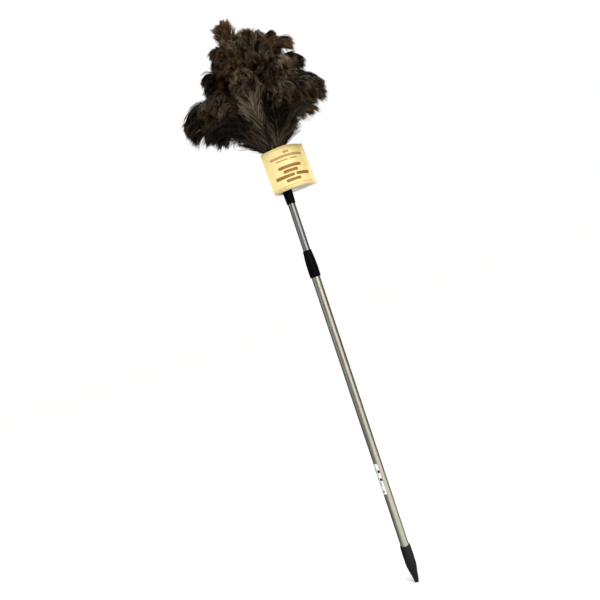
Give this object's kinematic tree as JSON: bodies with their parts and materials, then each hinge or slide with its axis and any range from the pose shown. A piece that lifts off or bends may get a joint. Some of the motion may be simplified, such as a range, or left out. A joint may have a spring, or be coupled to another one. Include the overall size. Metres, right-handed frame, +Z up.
{
  "type": "feather duster",
  "caption": "Ostrich feather duster with bound, drooping plumes on a two-tube telescopic pole that locks with a twist collar.",
  "frame": {"origin": "on the pole's axis where a hand holds the lower tube, 150 mm above the tip of the end cap", "axes": "+Z up along the pole to the feathers; -Y towards the front, where the card tag's bowed leaf faces; +X to the right, where the tag's stapled edge is"},
  "size_m": [0.3354, 0.2679, 1.3457],
  "materials": {
    "tube_aluminium": "satin",
    "black_plastic": "satin",
    "white_plastic": "satin",
    "stick_wood": "matte",
    "binding_thread": "matte",
    "neck_tape": "matte",
    "tag_card": "matte",
    "label_paper": "satin",
    "staple_wire": "satin",
    "ostrich_feather": "matte"
  },
  "bodies": {
    "pole": {"end_cap": "black_plastic", "outer_tube": "tube_aluminium", "tube_label": "label_paper", "collet_body": "white_plastic"},
    "clamp": {"clamp_ring": "white_plastic"},
    "collar": {"twist_collar": "black_plastic"},
    "runner": {"guide_ring": "white_plastic"},
    "head": {"foot_plug": "white_plastic", "inner_tube": "tube_aluminium", "screw_tip": "black_plastic", "head_socket": "black_plastic", "core_stick": "stick_wood", "inner_binding": "binding_thread", "middle_binding": "binding_thread", "outer_binding": "binding_thread", "neck_wrap": "neck_tape", "tag_card": "tag_card", "tag_staple": "staple_wire", "core_plume_01": "ostrich_feather", "core_plume_02": "ostrich_feather", "core_plume_03": "ostrich_feather", "inner_plume_01": "ostrich_feather", "inner_plume_02": "ostrich_feather", "inner_plume_03": "ostrich_feather", "inner_plume_04": "ostrich_feather", "inner_plume_05": "ostrich_feather", "inner_plume_06": "ostrich_feather", "inner_plume_07": "ostrich_feather", "inner_plume_08": "ostrich_feather", "middle_plume_01": "ostrich_feather", "middle_plume_02": "ostrich_feather", "middle_plume_03": "ostrich_feather", "middle_plume_04": "ostrich_feather", "middle_plume_05": "ostrich_feather", "middle_plume_06": "ostrich_feather", "middle_plume_07": "ostrich_feather", "middle_plume_08": "ostrich_feather", "middle_plume_09": "ostrich_feather", "outer_plume_01": "ostrich_feather", "outer_plume_02": "ostrich_feather", "outer_plume_03": "ostrich_feather", "outer_plume_04": "ostrich_feather", "outer_plume_05": "ostrich_feather", "outer_plume_06": "ostrich_feather", "outer_plume_07": "ostrich_feather", "outer_plume_08": "ostrich_feather", "outer_plume_09": "ostrich_feather", "outer_plume_10": "ostrich_feather"}
  },
  "joints": [
    {"name": "clamp_lift", "type": "slide", "parent": "pole", "child": "clamp", "axis": [0, 0, 1], "range_m": [0, 0.0012]},
    {"name": "collar_twist", "type": "hinge", "parent": "clamp", "child": "collar", "pos_m": [0, 0, 0.588], "axis": [0, 0, 1], "range_deg": [0, 120]},
    {"name": "pole_extend", "type": "slide", "parent": "pole", "child": "runner", "axis": [0, 0, 1], "range_m": [-0.11, 0.52]},
    {"name": "pole_swivel", "type": "hinge", "parent": "runner", "child": "head", "pos_m": [0, 0, 0.087], "axis": [0, 0, 1], "continuous": true}
  ],
  "couplings": [
    {"joint": "clamp_lift", "follows": "collar_twist", "m_per_rad": 0.00047746}
  ]
}
